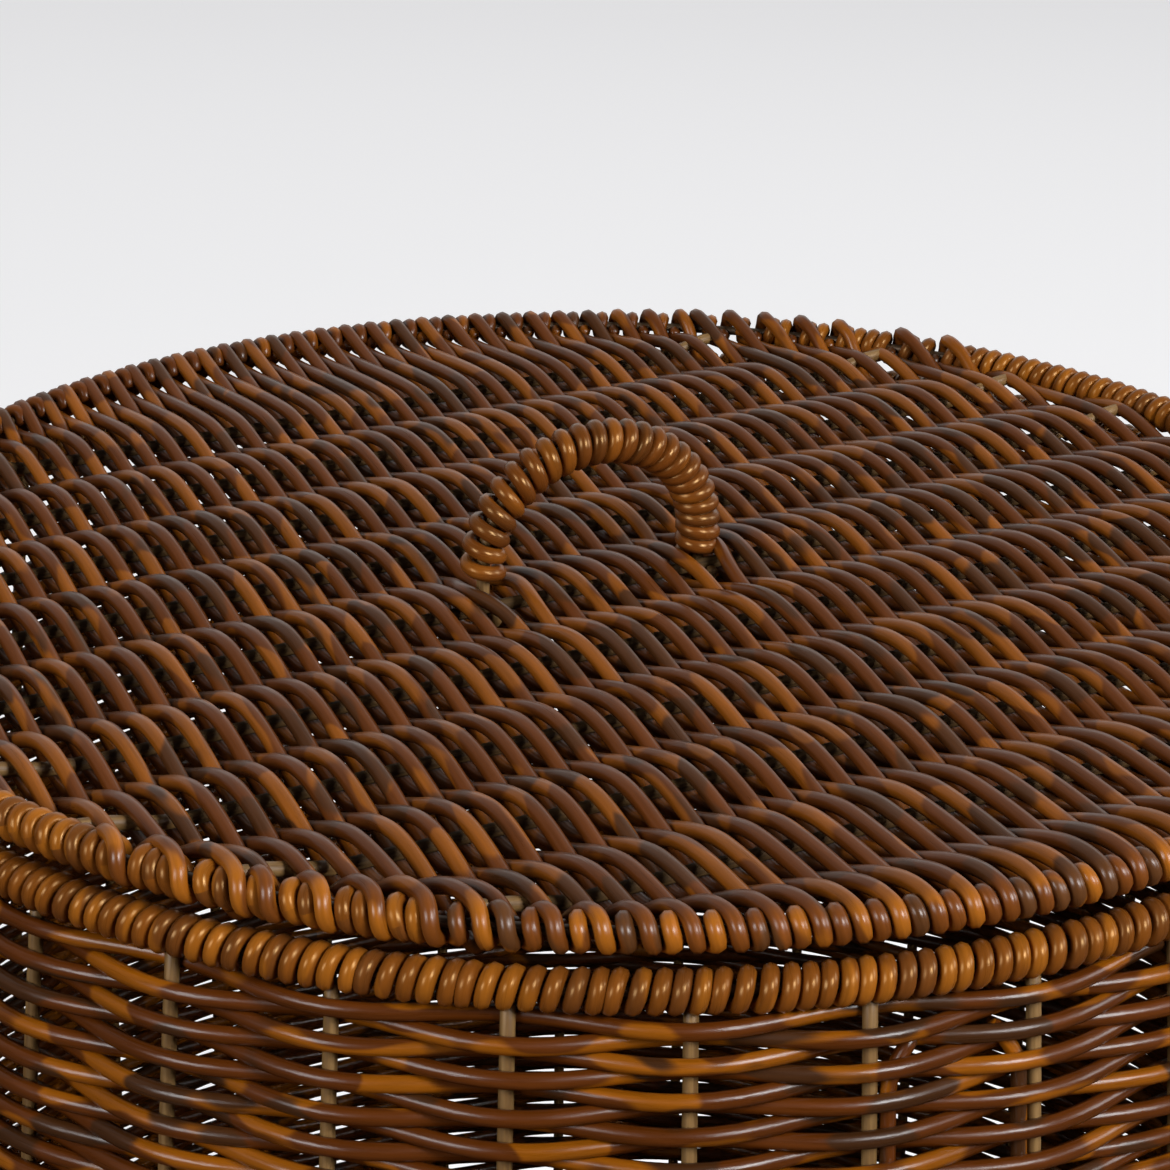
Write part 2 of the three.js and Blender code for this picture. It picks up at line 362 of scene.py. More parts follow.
def resin(name, brown, amber, dark, roughness, specular, stretch, tint=PLAIN_TINT):
    """Extruded resin strand: brown, with amber and dark stretches that start and stop abruptly.
    `stretch` is about how long they are."""
    n = Nodes(name)
    grain = n.attribute("grain", "Vector")
    seed = n.attribute("seed")
    patches = n.scaled(grain, (1 / stretch, 0.16, 0.16))
    amber_noise = n.noise(patches, seed, detail=1.0)
    dark_noise = n.noise(patches, n.math("ADD", seed, DARK_SEED), detail=1.0)
    is_amber = n.remap(amber_noise, *AMBER_EDGES)
    is_dark = n.remap(dark_noise, *DARK_EDGES)
    colour = n.mix(is_amber, brown, amber)
    colour = n.mix(is_dark, colour, dark)
    streaks = n.noise(n.scaled(grain, STREAKS), seed, detail=3.0, roughness=0.6)
    shade = n.remap(streaks, 0.3, 0.7, 0.80, 1.16, smooth=False)
    cloud = n.noise(n.scaled(grain, CLOUDS), n.math("ADD", seed, CLOUD_SEED), detail=2.0)
    shade = n.math("MULTIPLY", shade, n.remap(cloud, 0.3, 0.7, 0.86, 1.12, smooth=False))
    # Painted light: a weave's strand is coloured lighter where it turns round a ring, where the
    # lamps light it more.
    painted_light = n.mix(n.attribute("turning"), PLAIN_TINT, RING_PAINTED_LIGHT)
    colour = n.mix(1.0, colour, painted_light, "MULTIPLY")
    n.set("Base Color", n.mix(1.0, colour, shade, "MULTIPLY"))
    rough = n.remap(streaks, 0.3, 0.7, roughness - 0.05, roughness + 0.07, smooth=False)
    n.set("Roughness", rough)
    n.shader.inputs["Specular IOR Level"].default_value = specular
    n.shader.inputs["Specular Tint"].default_value = tint
    fine = n.noise(n.scaled(grain, FINE), seed, detail=2.0)
    n.bump(n.math("ADD", streaks, fine), 0.22, 0.25 * MM)
    return n.material


def rod_resin(name, light, deep, roughness, specular):
    """A rod's dull, slightly streaked covering."""
    n = Nodes(name)
    grain = n.attribute("grain", "Vector")
    seed = n.attribute("seed")
    streaks = n.noise(n.scaled(grain, ROD_STREAKS), seed, detail=4.0, roughness=0.6)
    n.set("Base Color", n.mix(n.remap(streaks, 0.32, 0.68), deep, light))
    n.shader.inputs["Specular IOR Level"].default_value = specular
    n.set("Roughness", n.remap(streaks, 0.3, 0.7, roughness - 0.08, roughness + 0.08, smooth=False))
    fine = n.noise(n.scaled(grain, ROD_FINE), seed, detail=2.0)
    n.bump(n.math("ADD", streaks, fine), 0.3, 0.2 * MM)
    return n.material


def wire_metal(name):
    """Brown painted wire, faintly scratched."""
    n = Nodes(name)
    grain = n.attribute("grain", "Vector")
    seed = n.attribute("seed")
    scratches = n.noise(n.scaled(grain, SCRATCHES), seed, detail=3.0)
    n.set("Base Color", n.mix(n.remap(scratches, 0.3, 0.7), srgb(62, 46, 30), srgb(92, 70, 46)))
    n.set("Roughness", n.remap(scratches, 0.3, 0.7, 0.38, 0.55, smooth=False))
    n.shader.inputs["Metallic"].default_value = 0.3
    n.bump(scratches, 0.15, 0.2 * MM)
    return n.material


strand_look = resin("woven_strand", srgb(86, 43, 9), srgb(122, 67, 12), srgb(68, 38, 15),
                    0.31, 0.38, 26 * MM)
wall_look = resin("wall_strand", srgb(80, 38, 5), srgb(128, 71, 6), srgb(58, 32, 12),
                  0.29, 0.36, 26 * MM)
wound_look = resin("wound_strand", srgb(112, 62, 17), srgb(136, 79, 20), srgb(97, 54, 19),
                   0.29, 0.5, 30 * MM, WARM)
handle_look = resin("handle_strand", srgb(98, 52, 15), srgb(115, 64, 17), srgb(85, 46, 15),
                    0.27, 0.6, 40 * MM, WARM)
rod_look = rod_resin("khaki_rod", srgb(132, 101, 58), srgb(100, 72, 38), 0.5, 0.5)
# Painted shade: the lid's ribs are khaki rods like the stakes, coloured dark for the shade they lie
# in between the strands.
shaded_rib_look = rod_resin("rod_painted_shade", srgb(88, 66, 38), srgb(52, 36, 18), 0.7, 0.15)
wire_look = wire_metal("hoop_wire")

# ---------- the basket's wall ----------


def wall_radius(z):
    """Radius of the wall's middle surface at height z."""
    t = (z - wall_low) / (wall_high - wall_low)
    return foot.radius + (rim.radius - foot.radius) * t + 4 * BULGE * t * (1 - t)


# The rows are beaten down harder below the top few. LOOSE is the wall's weave at the top, TIGHT the
# weave further down, and one turns into the other over BEATEN_OVER.
LOOSE_DEPTH = 36 * MM
BEATEN_OVER = 14 * MM
LOOSE = {"pitch": 3.72 * MM, "swing": SWING - 0.3 * MM, "radius": 1.97 * MM}
TIGHT = {"pitch": 3.12 * MM, "swing": 2.15 * MM, "radius": 2.08 * MM}


def beaten(key, z):
    """A size of the wall's weave at height z."""
    t = min(1.0, max(0.0, (wall_high - LOOSE_DEPTH - z) / BEATEN_OVER))
    return LOOSE[key] + (TIGHT[key] - LOOSE[key]) * t


def row_heights():
    """Heights of the wall's rows, from the top down, stretched a little to fill the wall."""
    heights = [wall_high - STRAND]
    while heights[-1] > wall_low + STRAND:
        heights.append(heights[-1] - beaten("pitch", heights[-1]))
    heights = np.array(heights)
    lowest = wall_low + TIGHT["radius"]
    stretch = (heights[0] - lowest) / (heights[0] - heights[-1])
    return heights[0] - (heights[0] - heights) * stretch


EDGE_ROWS = 3  # rows at the wall's top and bottom that grow less uneven towards its edge
ROWS_PER_PIECE = 8
POINTS_PER_STAKE = 8  # points of a row, from one stake to the next
DRIFT_KEPT = 0.8  # how much of a row's drift up and down the next row takes over
ROW_DRIFT = 0.16 * MM
ROW_UNEVEN = 0.09 * MM  # what a row wanders up and down on its own
SWING_UNEVEN = 0.08 * MM


def wall_weave():
    """Brown rows round the stakes, over one and under one, which wander a little up and down."""
    heights = row_heights()
    rows = len(heights)
    points = POINTS_PER_STAKE * STAKES
    one_stake, three_stakes = POINTS_PER_STAKE, 3 * POINTS_PER_STAKE
    angle = 2 * np.pi * np.arange(points) / points
    over_under = np.cos(STAKES / 2 * angle)
    up = np.tile([0.0, 0.0, 1.0], (points, 1))
    drift = np.zeros(points)
    for first in range(0, rows, ROWS_PER_PIECE):
        strands = Strands()
        for row in range(first, min(first + ROWS_PER_PIECE, rows)):
            drift = DRIFT_KEPT * drift + wander(points, three_stakes, ROW_DRIFT, closed=True)
            edge = min(1.0, row / EDGE_ROWS, (rows - 1 - row) / EDGE_ROWS)
            uneven = wander(points, one_stake, ROW_UNEVEN, closed=True)
            height = heights[row] + edge * (drift + uneven)
            side = -1 if row % 2 == 0 else 1
            swing_more = wander(points, one_stake, SWING_UNEVEN, closed=True)
            swing = beaten("swing", heights[row]) + swing_more
            radius = wall_radius(height) + side * swing * over_under
            path = np.stack([radius * np.cos(angle), radius * np.sin(angle), height], -1)
            path = np.roll(path, int(rng.integers(points)), axis=0)
            thickness = beaten("radius", heights[row]) * (1 + wander(points, 30, 0.02, closed=True))
            strands.add(path, thickness, closed=True, reference=up)
        number = first // ROWS_PER_PIECE + 1
        strands.make(f"wall_course_{number:02d}", "basket", wall_look, "strand", "wall_weave")


INTO_RING = 1.5 * MM  # how far a stake reaches past the weave, into the rings


def stakes():
    strands = Strands()
    heights = np.linspace(wall_low - INTO_RING, wall_high + INTO_RING, 60)
    for i in range(STAKES):
        angle = 2 * np.pi * i / STAKES
        lean = wander(len(heights), 12, 0.1 * MM)
        radius = wall_radius(heights)
        across = np.array([-math.sin(angle), math.cos(angle), 0.0])
        path = np.stack([radius * math.cos(angle), radius * math.sin(angle), heights], -1)
        strands.add(path + lean[:, None] * across, ROD, sides=12)
    strands.make("stakes", "basket", rod_look, "rod", *stake_nodes)


# ---------- wound rings ----------

SLACK = 0.1 * MM  # between a winding's outside and its CAD solid's
# How unevenly a helix's turns are spaced, in turns, and stand off the hoop.
CROWDING = 0.10
SWELLING = 0.12 * MM


def ring_point(ring, theta, psi, stand_off):
    """A point beside a ring's hoop: theta runs round the ring, psi round the hoop (0 faces out)."""
    radius = ring.radius + stand_off * np.cos(psi)
    return np.stack([radius * np.cos(theta), radius * np.sin(theta),
                     ring.z + stand_off * np.sin(psi)], -1)


def ring_tangent(theta):
    return np.stack([-np.sin(theta), np.cos(theta), np.zeros_like(theta)], -1)


def hoop(name, ring, body, radius, node):
    strands = Strands()
    count = 160
    theta = 2 * np.pi * np.arange(count) / count
    path = ring_point(ring, theta, np.zeros(count), 0.0)
    up = np.tile([0.0, 0.0, 1.0], (count, 1))
    strands.add(path, radius, closed=True, reference=up)
    strands.make(name, body, wire_look, "wire", node)


def helix_winding(name, ring, body, node):
    """One strand wound all the way round a ring, turn beside turn, and closed on itself."""
    turns = round(2 * np.pi * ring.radius / WOUND_PITCH)
    per_turn = 16
    count = turns * per_turn
    along = np.arange(count) / per_turn
    crowd = wander(turns, 1.2, CROWDING, closed=True)
    shifts = np.interp(along, np.arange(turns + 1), np.concatenate([crowd, crowd[:1]]))
    theta = 2 * np.pi * (along + shifts) / turns
    psi = 2 * np.pi * along
    swell = wander(count, 40, SWELLING, closed=True)
    path = ring_point(ring, theta, psi, ring.wound - STRAND + swell)
    strands = Strands()
    strands.add(path, STRAND, closed=True, reference=ring_tangent(theta))
    strands.make(name, body, wound_look, "wound_strand", node)


# ---------- flat weaves, whose strands turn round a ring ----------

# A strand along Y has an end at the ring's front half (-1) and one at its back half (1). MEETING is
# where the end meets the ring, as an angle round its hoop from outside, and ARRIVAL how steeply a
# strand that goes over the ring comes down on it there. At the back it still rises.
MEETING = {-1: math.radians(98), 1: math.radians(112)}
ARRIVAL = {-1: 0.2, 1: -0.3}
WRAP_ENDS = math.radians(177)  # how far round the hoop an end goes on, past its outer side
LEAN = 0.9 * MM  # how far each turn leans along the ring, from its middle to its top
# Where round the hoop an end that goes over (1) or under (-1) the ring has swung square to it, and
# how far along the ring that carries it, for each step that it slants along per step across.
SETTLED = {1: math.radians(10), -1: math.radians(58)}
CARRY = 3.0 * MM
# A strand's slant at the ring is its steps along the ring per step across. An end that goes over
# the lid's ring stands OVER_RISE further off it than plain turns do up to a slant of LOOSE_SLANT,
# and LOOP_RISE from LOOSE_OVER more. From where it meets the ring, it is down on it after
# RISE_ENDS. Past MOST_SLANT a strand makes no turn and just ends in the winding.
LOOSE_SLANT = 0.5
LOOSE_OVER = 0.4
MOST_SLANT = 2.2
OVER_RISE = 0.3 * MM
LOOP_RISE = 2.0 * MM
RISE_ENDS = math.radians(205)
RIB_ROOM = 8 * MM  # a strand doesn't cross a rib that is nearer than this to the ring
STEP = 1.3 * MM  # between the points of a strand
ARC_STEP = 2 * MM  # between the points of its arcs, before they are evened out
# A weave can be looser on the left, along X: it starts at LOOSE_FROM and is all loose at LOOSE_TO.
LOOSE_FROM = -42 * MM
LOOSE_TO = -102 * MM
# An end without a turn stops this far in and down from the middle of the hoop, in radii of the
# wound ring.
TUCKED_IN = 0.4
TUCKED_UNDER = 0.5
THINNER = 0.03 * MM  # how much less than STRAND the radius of a flat weave's strands is
SWAY = 0.13 * MM  # how far strands wander sideways
STEADY_ENDS = 8  # points over which that fades out towards their ends
# How unevenly plain turns are spaced, lean, and stand off the hoop.
TURN_SHIFT = 0.1 * MM
TURN_LEAN = 0.2 * MM
TURN_LIFT = 0.1 * MM


def hermite(a, b, slope_a, slope_b, length, count):
    """Heights from a to b over a length, with the given slopes at its ends."""
    t = np.linspace(0, 1, count)
    return ((2 * t**3 - 3 * t**2 + 1) * a + (t**3 - 2 * t**2 + t) * length * slope_a
            + (3 * t**2 - 2 * t**3) * b + (t**3 - t**2) * length * slope_b)


class FlatWeave:
    """A round weave on parallel ribs, with strands along Y whose ends turn round the ring. `swings`
    says how far strands stand off the plane of the weave, where it is tight and where it is loose,
    and `rises` how much further than the turns they stand off the ring, likewise."""

    def __init__(self, ring, plane, reach, swings, rises):
        self.ring, self.plane, self.swings, self.rises = ring, plane, swings, rises
        self.off = ring.wound - STRAND - SLACK
        count = int(reach // FLAT_PITCH)
        self.places = {index: (index + 0.5) * FLAT_PITCH for index in range(-count, count)}
        self.taken, self.plain = {}, []
        for end in (-1, 1):
            self.plan(end)
        self.plan_sides()

    def entry(self, x, end):
        """How far out along Y the strand at x starts to turn round the ring."""
        radius = self.ring.radius + self.off * math.cos(MEETING[end])
        return math.sqrt(radius**2 - x**2)

    def landing(self, x, end):
        """Where round the ring the strand at x settles at this end of it."""
        y = self.entry(x, end)
        carried = CARRY * (x / y) / self.ring.radius
        return end * (math.atan2(y, x) + carried)

    def plan(self, end):
        """Gives the strands that go over the ring a turn each, and fills up between them. Where
        just one turn fits between two, the strand that goes under the ring there makes it."""
        over, under = [], {}
        for index, x in self.places.items():
            if abs(x) / self.entry(x, end) > MOST_SLANT:
                continue
            if self.end_side(index, x, end) > 0:
                over.append((self.landing(x, end), index))
            else:
                under[index] = x
        over.sort()
        for angle, index in over:
            self.taken[index, end] = angle
        for (a, left), (b, right) in zip(over, over[1:]):
            between = max(0, round((b - a) * self.ring.radius / WOUND_PITCH) - 1)
            middle = (left + right) // 2
            if between == 1 and middle in under and abs(left - right) == 2:
                self.taken[middle, end] = (a + b) / 2
                continue
            self.plain += [a + (b - a) * (k + 1) / (between + 1) for k in range(between)]

    def plan_sides(self):
        """Plain turns round the rest of the ring, at both sides."""
        ends = {end: [a for (_, at), a in self.taken.items() if at == end] for end in (-1, 1)}
        for a, b in ((max(ends[-1]), min(ends[1])), (max(ends[1]), min(ends[-1]) + 2 * math.pi)):
            count = round((b - a) * self.ring.radius / WOUND_PITCH) - 1
            self.plain += [a + (b - a) * (k + 1) / (count + 1) for k in range(count)]

    def rib_side(self, index, rib):
        """1 where a strand goes over a rib, -1 where it goes under."""
        return 1 if (index + rib) % 2 == 0 else -1

    def last_rib(self, x, end):
        """The rib that a strand crosses last before its end."""
        reach = self.entry(x, end) - RIB_ROOM
        inside = [k for k in range(len(rib_rows)) if abs(rib_rows[k]) < reach]
        return min(inside, key=lambda k: -end * rib_rows[k])

    def end_side(self, index, x, end):
        """1 where a strand's end goes over the ring, -1 where it goes under."""
        return -self.rib_side(index, self.last_rib(x, end))

    def wrap(self, x, end, side, turn):
        """The turn of a strand's end round the ring, from where it meets the ring."""
        y = end * self.entry(x, end)
        slant = x / abs(y)
        gone = np.linspace(0, MEETING[end] + WRAP_ENDS, 30)
        psi = side * (MEETING[end] - gone)
        ease = eased(np.clip(gone / (MEETING[end] - SETTLED[side]), 0, 1))
        drift = end * slant * self.off * math.sin(MEETING[end]) / self.ring.radius
        first = math.atan2(y, x) + drift * gone
        settled = turn - LEAN * np.sin(psi) / self.ring.radius
        raised = self.off
        if side > 0:
            loose = min(1.0, max(0.0, (abs(slant) - LOOSE_SLANT) / LOOSE_OVER))
            rise = self.rises[0] + (self.rises[1] - self.rises[0]) * loose
            raised = self.off + rise * np.cos(np.clip(gone / RISE_ENDS, 0, 1) * math.pi / 2)
        theta = (1 - ease) * first + ease * settled
        return ring_point(self.ring, theta, psi, raised)

    def end_of(self, index, x, end):
        """A strand's end: its path, its slope where it starts, and the last rib it crosses."""
        last = self.last_rib(x, end)
        side = self.end_side(index, x, end)
        if (index, end) not in self.taken:
            radius = self.ring.radius - TUCKED_IN * self.ring.wound
            y = end * math.sqrt(radius**2 - x**2)
            z = self.ring.z - TUCKED_UNDER * self.ring.wound
            return np.array([[x, y, z]]), 0.0, last
        path = self.wrap(x, end, side, self.taken[index, end])
        slope = ARRIVAL[end] if side > 0 else 0.0
        return path, -end * slope, last

    def strand(self, index, x, push):
        """Centre line of the strand at x, with its turns round the ring's front and back."""
        near, near_slope, first = self.end_of(index, x, -1)
        far, far_slope, last = self.end_of(index, x, 1)
        looser = min(1, max(0, (x - LOOSE_FROM) / (LOOSE_TO - LOOSE_FROM)))
        swing = self.swings[0] + (self.swings[1] - self.swings[0]) * looser
        stops = [(near[0][1], near[0][2], near_slope)]
        for rib in range(first, last + 1):
            stops.append((rib_rows[rib], self.plane + self.rib_side(index, rib) * swing, 0.0))
        stops.append((far[0][1], far[0][2], far_slope))
        ys, zs = [], []
        for (y0, z0, slope0), (y1, z1, slope1) in zip(stops, stops[1:]):
            count = max(4, round((y1 - y0) / ARC_STEP))
            zs.append(hermite(z0, z1, slope0, slope1, y1 - y0, count)[:-1])
            ys.append(np.linspace(y0, y1, count)[:-1])
        y = np.concatenate(ys)
        z = np.concatenate(zs)
        from_end = np.minimum(np.arange(len(y)), np.arange(len(y))[::-1])
        xs = x + wander(len(y), 15, SWAY) * np.minimum(1, from_end / STEADY_ENDS)
        if push is not None:
            xs = xs + push(x, y)
        middle = np.stack([xs, y, z], -1)
        line = np.vstack([near[::-1], middle[1:], far])
        return evened(line, max(8, round(distances(line)[-1] / STEP)))

    def weave(self, prefix, body, node, pieces, push=None):
        """Makes all the strands, in several pieces. `push` says how far they are pushed along X."""
        for number, chosen in enumerate(np.array_split(sorted(self.places), pieces)):
            strands = Strands()
            for index in chosen:
                path = self.strand(int(index), self.places[int(index)], push)
                out = np.hypot(path[:, 0], path[:, 1]) - self.ring.radius
                # 1 where the strand turns round the ring: its material paints light there.
                turning = np.clip(0.5 + out / self.off, 0, 1)
                thickness = (STRAND - THINNER) * (1 + wander(len(path), 30, 0.015))
                strands.add(path, thickness, turning=turning)
            strands.make(f"{prefix}_{number + 1:02d}", body, strand_look, "strand", node)

    def fill(self, name, body, node):
        """Plain turns round the ring, between those that the weave's own strands make."""
        strands = Strands()
        psi = 2 * np.pi * np.arange(20) / 20
        for angle in self.plain:
            theta = angle + rng.normal(0, TURN_SHIFT) / self.ring.radius
            lean = LEAN + rng.normal(0, TURN_LEAN)
            around = theta - lean * np.sin(psi) / self.ring.radius
            off = self.off + rng.uniform(-TURN_LIFT, TURN_LIFT)
            path = ring_point(self.ring, around, psi, off)
            strands.add(path, STRAND, closed=True, reference=ring_tangent(around))
        strands.make(name, body, wound_look, "wound_strand", node)


# ---------- the handle ----------

handle_low, handle_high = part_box("handle_winding")
HANDLE_WOUND = (handle_high.y - handle_low.y) / 2
handle_y = (handle_high.y + handle_low.y) / 2
handle_middle = (handle_high.x + handle_low.x) / 2
handle_half = (handle_high.x - handle_low.x) / 2 - HANDLE_WOUND
LOWER_TOP = 1.4 * MM  # the arch is this much lower than the CAD's
handle_top = handle_high.z - HANDLE_WOUND - LOWER_TOP
HANDLE_SHOULDER = 4 * MM  # how far the legs rise straight up
handle_shoulder = handle_low.z + HANDLE_SHOULDER
WIDER_LEG = 0.8 * MM  # the right leg stands this much further out than the CAD's
legs = [handle_middle - handle_half, handle_middle + handle_half + WIDER_LEG]
# Where the winding ends at the left and the right leg: it goes down between the lid's strands.
FOOT_OF_LEG = [handle_low.z + 1.6 * MM, handle_low.z - 4.2 * MM]
HANDLE_TURNS = 24
HANDLE_STRAND = 2.0 * MM  # radius of the strand wound round the handle
HANDLE_SLACK = 0.05 * MM  # between the winding's outside and its CAD solid's, give or take as much
LOOSENESS = 0.04  # the turns are further apart on the first leg than on the other
HOOK_TURN = 0.95 * math.pi  # how far the core's ends turn round the middle rib


def arch(count):
    """Centre line of the handle from foot to foot, evenly spaced."""
    turn = np.linspace(math.pi, 0, 60)
    bow = np.stack([(legs[0] + legs[1]) / 2 + (legs[1] - legs[0]) / 2 * np.cos(turn),
                    handle_shoulder + (handle_top - handle_shoulder) * np.sin(turn)], -1)
    line = np.vstack([[legs[0], FOOT_OF_LEG[0]], bow, [legs[1], FOOT_OF_LEG[1]]])
    x, z = evened(line, count).T
    return np.stack([x, np.full(count, handle_y), z], -1)


def handle():
    """The core, whose ends hook round the middle rib at Y 0, and the winding round it."""
    line = arch(121)
    hook_radius = handle_y
    hooks = []
    for x in legs:
        turn = np.linspace(0, -HOOK_TURN, 9)
        hooks.append(np.stack([np.full(9, x), hook_radius * np.cos(turn),
                               lid_plane + hook_radius * np.sin(turn)], -1))
    core = Strands()
    core.add(np.vstack([hooks[0][::-1], line[::3], hooks[1]]), ROD, sides=12)
    core.make("handle_core", "lid", rod_look, "rod", "handle_core")
    per_turn = 20
    count = HANDLE_TURNS * per_turn + 1
    along = np.linspace(0, 1, count)
    loose = along + LOOSENESS * np.sin(math.pi * along)
    where = loose * (len(line) - 1)
    centre = np.stack([np.interp(where, np.arange(len(line)), line[:, i]) for i in range(3)], -1)
    direction = tangents(centre, False)
    across = np.array([0.0, 1.0, 0.0])
    outward = np.cross(across, direction)
    psi = 2 * np.pi * along * HANDLE_TURNS
    off = HANDLE_WOUND - HANDLE_STRAND - HANDLE_SLACK + wander(count, 14, HANDLE_SLACK)
    path = centre + off[:, None] * (np.cos(psi)[:, None] * outward
                                    - np.sin(psi)[:, None] * across)
    wound = Strands()
    wound.add(path, HANDLE_STRAND, sides=10, reference=direction)
    wound.make("handle_winding", "lid", handle_look, "wound_strand", "handle_winding")


# Strands lie apart where a leg of the handle comes up between them: the nearest ones by LEG_ROOM,
# fading over LEG_NEAR across the strands and over LEG_ALONG along them.
LEG_ROOM = 4.3 * MM
LEG_NEAR = 8 * MM
LEG_ALONG = 11 * MM


def beside_the_legs(x, y):
    """How far the strand at x is pushed aside at y."""
    push = np.zeros_like(y)
    for leg in legs:
        distance = x - leg
        room = LEG_ROOM * math.exp(-(distance / LEG_NEAR) ** 2)
        push += math.copysign(room, distance) * np.exp(-((y - handle_y) / LEG_ALONG) ** 2)
    return push


# ---------- ribs and the base's frame ----------

ROD_RISES_OVER = 24 * MM  # a rod's ends rise from the weave to the hoop over this length
RIB_END = 5  # how many points at either end of a lid rib show the rods' own khaki, on a slightly thicker tube; the rest of the rib is painted dark as shade
KHAKI_END_RADIUS = 1.04 * ROD


def rod_lines(halves, plane, ring):
    """Centre lines of the rods across a flat weave, whose ends rise to the ring's hoop."""
    for y, half in zip(rib_rows, halves):
        x = np.linspace(-half, half, 60)
        near_end = np.clip(1 - (half - np.abs(x)) / ROD_RISES_OVER, 0, 1)
        rise = (ring.z - plane) * eased(near_end)
        yield np.stack([x, y + wander(60, 15, 0.12 * MM), plane + rise], -1)


def rods(name, body, lines, radius, material, slot, *nodes):
    strands = Strands()
    for path in lines:
        strands.add(path, radius, sides=12)
    strands.make(name, body, material, slot, *nodes)


# The tails start TAIL_TOP below the weave's top, TAIL_AWAY to one side of a stake, and bend in to
# TAIL_BESIDE it over the first part of their length.
TAILS = ((25, 1), (26, -1))  # which stake, and on which side of it
TAIL_TOP = 9 * MM
TAIL_LENGTH = 62 * MM
TAIL_AWAY = 9 * MM
TAIL_BESIDE = 3.8 * MM
TAIL_OUT = 0.6 * MM  # how far outside the wall's middle they lie
TAIL_DIPS = 1.2 * MM  # how much further in they start
TAIL_BEND = 1 / 6  # the part of their length over which they bend
TAIL_RADIUS = 0.9 * STRAND


def tails():
    """Ends of wall strands, tucked down beside a stake behind the outer strands."""
    strands = Strands()
    for stake, side in TAILS:
        t = np.linspace(0, 1, 40)
        z = wall_high - TAIL_TOP - TAIL_LENGTH * t
        bow = np.sin(np.clip(t / TAIL_BEND, 0, 1) * math.pi / 2)
        beside = side * (TAIL_AWAY - (TAIL_AWAY - TAIL_BESIDE) * bow)
        angle = 2 * np.pi * (stake - 1) / STAKES + beside / wall_radius(z)
        radius = wall_radius(z) + TAIL_OUT - TAIL_DIPS * (1 - bow)
        path = np.stack([radius * np.cos(angle), radius * np.sin(angle), z], -1)
        strands.add(path, TAIL_RADIUS)
    strands.make("wall_tails", "basket", wall_look, "strand", "wall_weave")


# ---------- the pieces ----------

wall_weave()
stakes()
tails()
hoop("rim_hoop", rim, "basket", RING_WIRE, "rim_hoop")
helix_winding("rim_winding", rim, "basket", "rim_winding")

BASE_EDGE = 6 * MM  # the outermost strand of the base lies at least this far inside the hoop
base = FlatWeave(foot, base_plane, foot.radius - BASE_EDGE, (SWING, SWING), (0.0, 0.0))
base.weave("base_weave", "basket", "base_weave", 8)
base.fill("foot_winding", "basket", "foot_winding")
base_halves = [math.sqrt(foot.radius**2 - y**2) for y in rib_rows]
base_lines = rod_lines(base_halves, base_plane, foot)
rods("base_frame", "basket", base_lines, FRAME_WIRE, wire_look, "wire", "base_frame")
hoop("foot_hoop", foot, "basket", FRAME_WIRE, "base_frame")

LID_EDGE = 5 * MM  # the same for the lid
# The lid's weave is looser on the left: it swings further from the ribs there.
LID_SWINGS = (SWING + 0.65 * MM, SWING + 1.8 * MM)
lid_rises = (OVER_RISE, LOOP_RISE)
lid = FlatWeave(lid_ring, lid_plane, lid_ring.radius - LID_EDGE, LID_SWINGS, lid_rises)
lid.weave("lid_weave", "lid", "lid_weave", 10, beside_the_legs)
lid.fill("lid_winding", "lid", "lid_winding")
hoop("lid_hoop", lid_ring, "lid", RING_WIRE, "lid_hoop")
lid_halves = [(high.x - low.x) / 2 for low, high in rib_boxes]
lid_lines = list(rod_lines(lid_halves, lid_plane, lid_ring))
rib_nodes = [f"lid_rib_{i + 1}" for i in range(LID_RIBS)]
# The ribs' middles carry painted shade, and their ends show the rods' khaki.
rods("lid_ribs", "lid", lid_lines, ROD, shaded_rib_look, "rod", *rib_nodes)
rib_ends = [line[:RIB_END] for line in lid_lines] + [line[-RIB_END:] for line in lid_lines]
rods("lid_rib_ends", "lid", rib_ends, KHAKI_END_RADIUS, rod_look, "rod", *rib_nodes)
handle()

# ---------- floor, light and camera ----------

CAMERA_PLACE = (-0.4183, -0.6938, 0.8413)
CAMERA_HEADING = math.radians(30.50)  # from +Y towards +X
CAMERA_PITCH = math.radians(21.92)  # down
CAMERA_ROLL = math.radians(0.772)
CAMERA_LENS = 108.17  # millimetres, as the sensor's width
CAMERA_SENSOR = 36.0

ahead = np.array([math.sin(CAMERA_HEADING), math.cos(CAMERA_HEADING), 0.0])
right = np.array([math.cos(CAMERA_HEADING), -math.sin(CAMERA_HEADING), 0.0])
above = np.array([0.0, 0.0, 1.0])


def make_camera():
    look = math.cos(CAMERA_PITCH) * ahead - math.sin(CAMERA_PITCH) * above
    top = np.cross(right, look)
    level = math.cos(CAMERA_ROLL) * right + math.sin(CAMERA_ROLL) * top
    upright = -math.sin(CAMERA_ROLL) * right + math.cos(CAMERA_ROLL) * top
    data = bpy.data.cameras.new("camera")
    data.lens = CAMERA_LENS
    data.sensor_width = CAMERA_SENSOR
    data.clip_end = 60.0
    camera = bpy.data.objects.new("camera", data)
    bpy.context.scene.collection.objects.link(camera)
    axes = np.stack([level, upright, -look], -1)
    camera.matrix_world = Matrix.Translation(CAMERA_PLACE) @ Matrix(axes.tolist()).to_4x4()
    bpy.context.scene.camera = camera


AIM_HEIGHT = 0.45  # all the lights point at the middle of the object, this high up


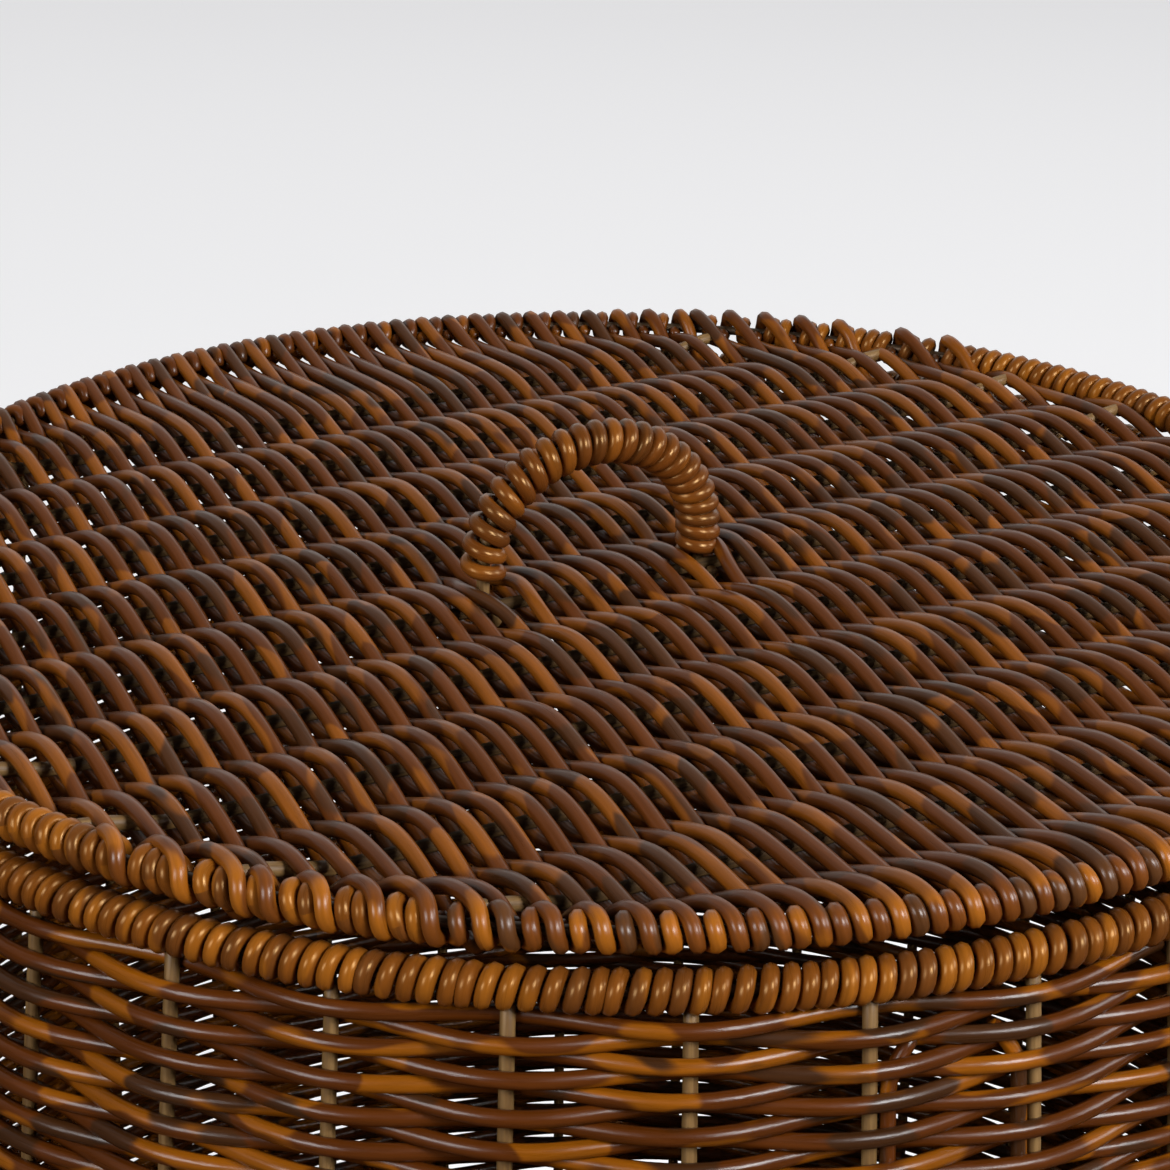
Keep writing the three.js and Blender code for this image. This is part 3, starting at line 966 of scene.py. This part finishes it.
def softbox(name, place, size, power):
    """A soft area light. Its place is given as (right, ahead, up) seen from the camera."""
    data = bpy.data.lights.new(name, "AREA")
    data.shape = "RECTANGLE"
    data.size, data.size_y = size
    data.energy = power
    light = bpy.data.objects.new(name, data)
    bpy.context.scene.collection.objects.link(light)
    spot = place[0] * right + place[1] * ahead + place[2] * above
    target = np.array([0.0, 0.0, AIM_HEIGHT])
    back = unit(spot - target)
    side = unit(np.cross(above, back))
    axes = np.stack([side, np.cross(back, side), back], -1)
    light.matrix_world = Matrix.Translation(spot.tolist()) @ Matrix(axes.tolist()).to_4x4()
    light.visible_camera = False


FLOOR_HALF = 14.0
FLOOR_GLOW = 0.635  # what the camera sees of the floor glows this much, which keeps it pale
FLOOR_SEEN = srgb(190, 190, 190)
FLOOR_BOUNCE = srgb(70, 52, 38)  # what the object gets back from the floor is dimmer and warmer
# The strength of the world's light from in front of the object and from behind and above it, and
# what the camera sees of it.
WORLD_FRONT = 0.012
WORLD_BACK = 0.52
WORLD_SEEN = 0.8
WORLD_TINT = (1.0, 0.985, 0.965, 1.0)
# How far a direction points to the back, as a cosine, where the light starts to grow and ends.
WORLD_RAMP = (-0.1, 0.8)


def make_floor():
    mesh = bpy.data.meshes.new("floor")
    half = FLOOR_HALF
    mesh.from_pydata([(-half, -half, 0), (half, -half, 0), (half, half, 0), (-half, half, 0)],
                     [], [(0, 1, 2, 3)])
    floor = bpy.data.objects.new("floor", mesh)
    bpy.context.scene.collection.objects.link(floor)
    n = Nodes("pale_floor")
    path = n.tree.nodes.new("ShaderNodeLightPath")
    seen = path.outputs["Is Camera Ray"]
    n.set("Base Color", n.mix(seen, FLOOR_BOUNCE, FLOOR_SEEN))
    n.set("Roughness", 0.9)
    n.set("Emission Color", srgb(232, 232, 235))
    n.set("Emission Strength", n.math("MULTIPLY", seen, FLOOR_GLOW))
    mesh.materials.append(n.material)


def make_world():
    """A pale studio, brighter behind the object and a little above it than in front of it."""
    world = bpy.data.worlds.new("studio")
    world.use_nodes = True
    tree = world.node_tree
    background = tree.nodes["Background"]
    background.inputs["Color"].default_value = WORLD_TINT
    coordinates = tree.nodes.new("ShaderNodeTexCoord")
    facing = tree.nodes.new("ShaderNodeVectorMath")
    facing.operation = "DOT_PRODUCT"
    tree.links.new(coordinates.outputs["Generated"], facing.inputs[0])
    behind = 0.97 * ahead + 0.24 * above
    facing.inputs[1].default_value = behind.tolist()
    ramp = tree.nodes.new("ShaderNodeMapRange")
    ramp.interpolation_type = "SMOOTHSTEP"
    tree.links.new(facing.outputs["Value"], ramp.inputs["Value"])
    ramp.inputs["From Min"].default_value = WORLD_RAMP[0]
    ramp.inputs["From Max"].default_value = WORLD_RAMP[1]
    ramp.inputs["To Min"].default_value = WORLD_FRONT
    ramp.inputs["To Max"].default_value = WORLD_BACK
    path = tree.nodes.new("ShaderNodeLightPath")
    shown = tree.nodes.new("ShaderNodeMix")
    tree.links.new(path.outputs["Is Camera Ray"], shown.inputs[0])
    tree.links.new(ramp.outputs["Result"], shown.inputs[2])
    shown.inputs[3].default_value = WORLD_SEEN
    tree.links.new(shown.outputs[0], background.inputs["Strength"])
    bpy.context.scene.world = world


make_camera()
make_floor()
make_world()
softbox("key", (1.62, -1.84, 2.05), (1.0, 1.0), 86)
softbox("fill", (-1.75, -1.9, 1.6), (1.1, 1.1), 46)
softbox("side", (2.6, -0.1, 1.4), (1.0, 1.0), 28)
softbox("back", (0.3, 2.6, 1.5), (3.2, 1.4), 6)
bpy.context.scene.view_settings.view_transform = "Standard"
